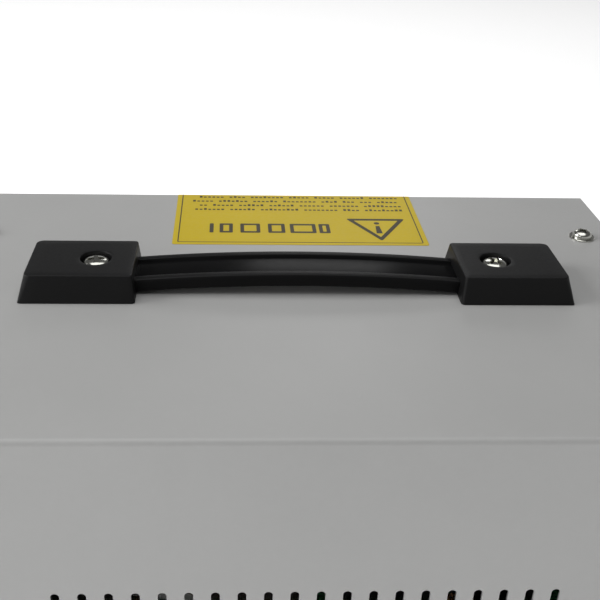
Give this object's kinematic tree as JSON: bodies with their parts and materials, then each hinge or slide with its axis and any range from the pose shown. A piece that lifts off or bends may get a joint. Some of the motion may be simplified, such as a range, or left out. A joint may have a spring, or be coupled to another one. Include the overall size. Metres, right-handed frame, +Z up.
{
  "type": "power inverter",
  "caption": "Portable mains power inverter: vented folded steel case, strap handle, front panel with outlets, display and switches, rear fan and battery terminals.",
  "frame": {"origin": "middle of the whole's footprint, on the plane that the rubber feet stand on", "axes": "+Z up; +X towards the front panel with the outlets; +Y towards the side with the fan; the label is on the -Y side of the top"},
  "size_m": [0.3332, 0.2036, 0.1537],
  "materials": {
    "case_paint": "fine-textured light grey powder coat, satin",
    "chassis_steel": "light grey powder coat, satin",
    "label": "printed yellow sticker, satin",
    "handle_plastic": "finely grained moulded plastic",
    "strap_vinyl": "soft moulded vinyl, satin",
    "rubber": "moulded rubber, matt",
    "zinc": "nickel-plated steel, bright",
    "panel_plastic": "finely grained moulded plastic",
    "window": "smoked acrylic, polished",
    "lcd": "liquid crystal display behind glass",
    "board": "green solder mask, satin",
    "led": "clear tinted lens, polished",
    "button_plastic": "smooth moulded plastic",
    "outlet_plastic": "smooth moulded plastic",
    "brass": "turned brass, lightly tarnished",
    "rocker": "glossy translucent red plastic",
    "fan_plastic": "glass-filled moulded plastic",
    "red_plastic": "moulded red plastic",
    "black_plastic": "moulded black plastic",
    "white_plastic": "moulded white plastic",
    "copper": "varnished copper winding",
    "aluminium": "extruded, plain",
    "component_black": "moulded epoxy",
    "component_blue": "shrink sleeve",
    "lead_yellow": "vinyl insulation"
  },
  "bodies": {
    "case": {"top_cover": "case_paint", "chassis": "chassis_steel", "warning_label": "label", "rubber_feet": "rubber", "feet_screws": "zinc", "cover_screws_top": "zinc", "cover_screws_side": "zinc", "handle_cap_front": "handle_plastic", "handle_cap_rear": "handle_plastic", "handle_flex_front": "strap_vinyl", "handle_flex_rear": "strap_vinyl", "handle_screws": "zinc", "handle_nuts": "zinc", "front_bezel": "panel_plastic", "display_window": "window", "display_module": "lcd", "control_board": "board", "indicator_leds": "led", "outlet_left_shell": "outlet_plastic", "outlet_right_shell": "outlet_plastic", "outlet_floors": "outlet_plastic", "outlet_backs": "outlet_plastic", "outlet_contacts": "brass", "outlet_earth_pins": "brass", "switch_frame": "black_plastic", "fan_frame": "fan_plastic", "fan_guard": "zinc", "fan_screws": "zinc", "terminal_bases": "black_plastic", "terminal_studs": "brass", "terminal_nuts": "brass", "breaker_body": "black_plastic", "breaker_nut": "zinc", "earth_screw": "brass", "transformer": "copper", "transformer_pads": "rubber", "transformer_clamp": "zinc", "transformer_bolt": "zinc", "main_board": "board", "board_spacers": "brass", "board_screws": "zinc", "heat_sinks": "aluminium", "transistors": "component_black", "capacitors": "component_blue", "output_choke": "copper", "battery_lugs": "brass", "lead_positive": "red_plastic", "lead_negative": "black_plastic", "lead_outlets": "white_plastic", "leads_transformer": "lead_yellow"},
    "grip": {"handle_grip": "strap_vinyl"},
    "power_button": {"button_power": "button_plastic"},
    "left_button": {"button_left": "button_plastic"},
    "right_button": {"button_right": "button_plastic"},
    "rocker": {"switch_rocker": "rocker"},
    "fan": {"fan_rotor": "fan_plastic"},
    "positive_knob": {"knob_red": "red_plastic"},
    "negative_knob": {"knob_black": "black_plastic"},
    "reset_button": {"breaker_button": "white_plastic"}
  },
  "joints": [
    {"name": "handle_lift", "type": "slide", "parent": "case", "child": "grip", "axis": [0, 0, 1], "range_m": [0, 0.02], "stiffness_N_per_m": 150, "springref_m": -0.002, "deforming": ["handle_flex_front", "handle_flex_rear"]},
    {"name": "power_press", "type": "slide", "parent": "case", "child": "power_button", "axis": [-1, 0, 0], "range_m": [0, 0.0012], "stiffness_N_per_m": 600, "springref_m": -0.0006},
    {"name": "left_press", "type": "slide", "parent": "case", "child": "left_button", "axis": [-1, 0, 0], "range_m": [0, 0.0012], "stiffness_N_per_m": 600, "springref_m": -0.0006},
    {"name": "right_press", "type": "slide", "parent": "case", "child": "right_button", "axis": [-1, 0, 0], "range_m": [0, 0.0012], "stiffness_N_per_m": 600, "springref_m": -0.0006},
    {"name": "rocker_tilt", "type": "hinge", "parent": "case", "child": "rocker", "pos_m": [0.1595, 0.063, 0.048], "axis": [0, -1, 0], "range_deg": [0, 18]},
    {"name": "fan_spin", "type": "hinge", "parent": "case", "child": "fan", "pos_m": [-0.1338, 0.047, 0.068], "axis": [1, 0, 0], "continuous": true},
    {"name": "positive_turn", "type": "hinge", "parent": "case", "child": "positive_knob", "pos_m": [-0.157, -0.047, 0.053], "axis": [1, 0, 0], "continuous": true},
    {"name": "negative_turn", "type": "hinge", "parent": "case", "child": "negative_knob", "pos_m": [-0.157, -0.077, 0.053], "axis": [1, 0, 0], "continuous": true},
    {"name": "reset_pop", "type": "slide", "parent": "case", "child": "reset_button", "axis": [-1, 0, 0], "range_m": [0, 0.003]}
  ]
}
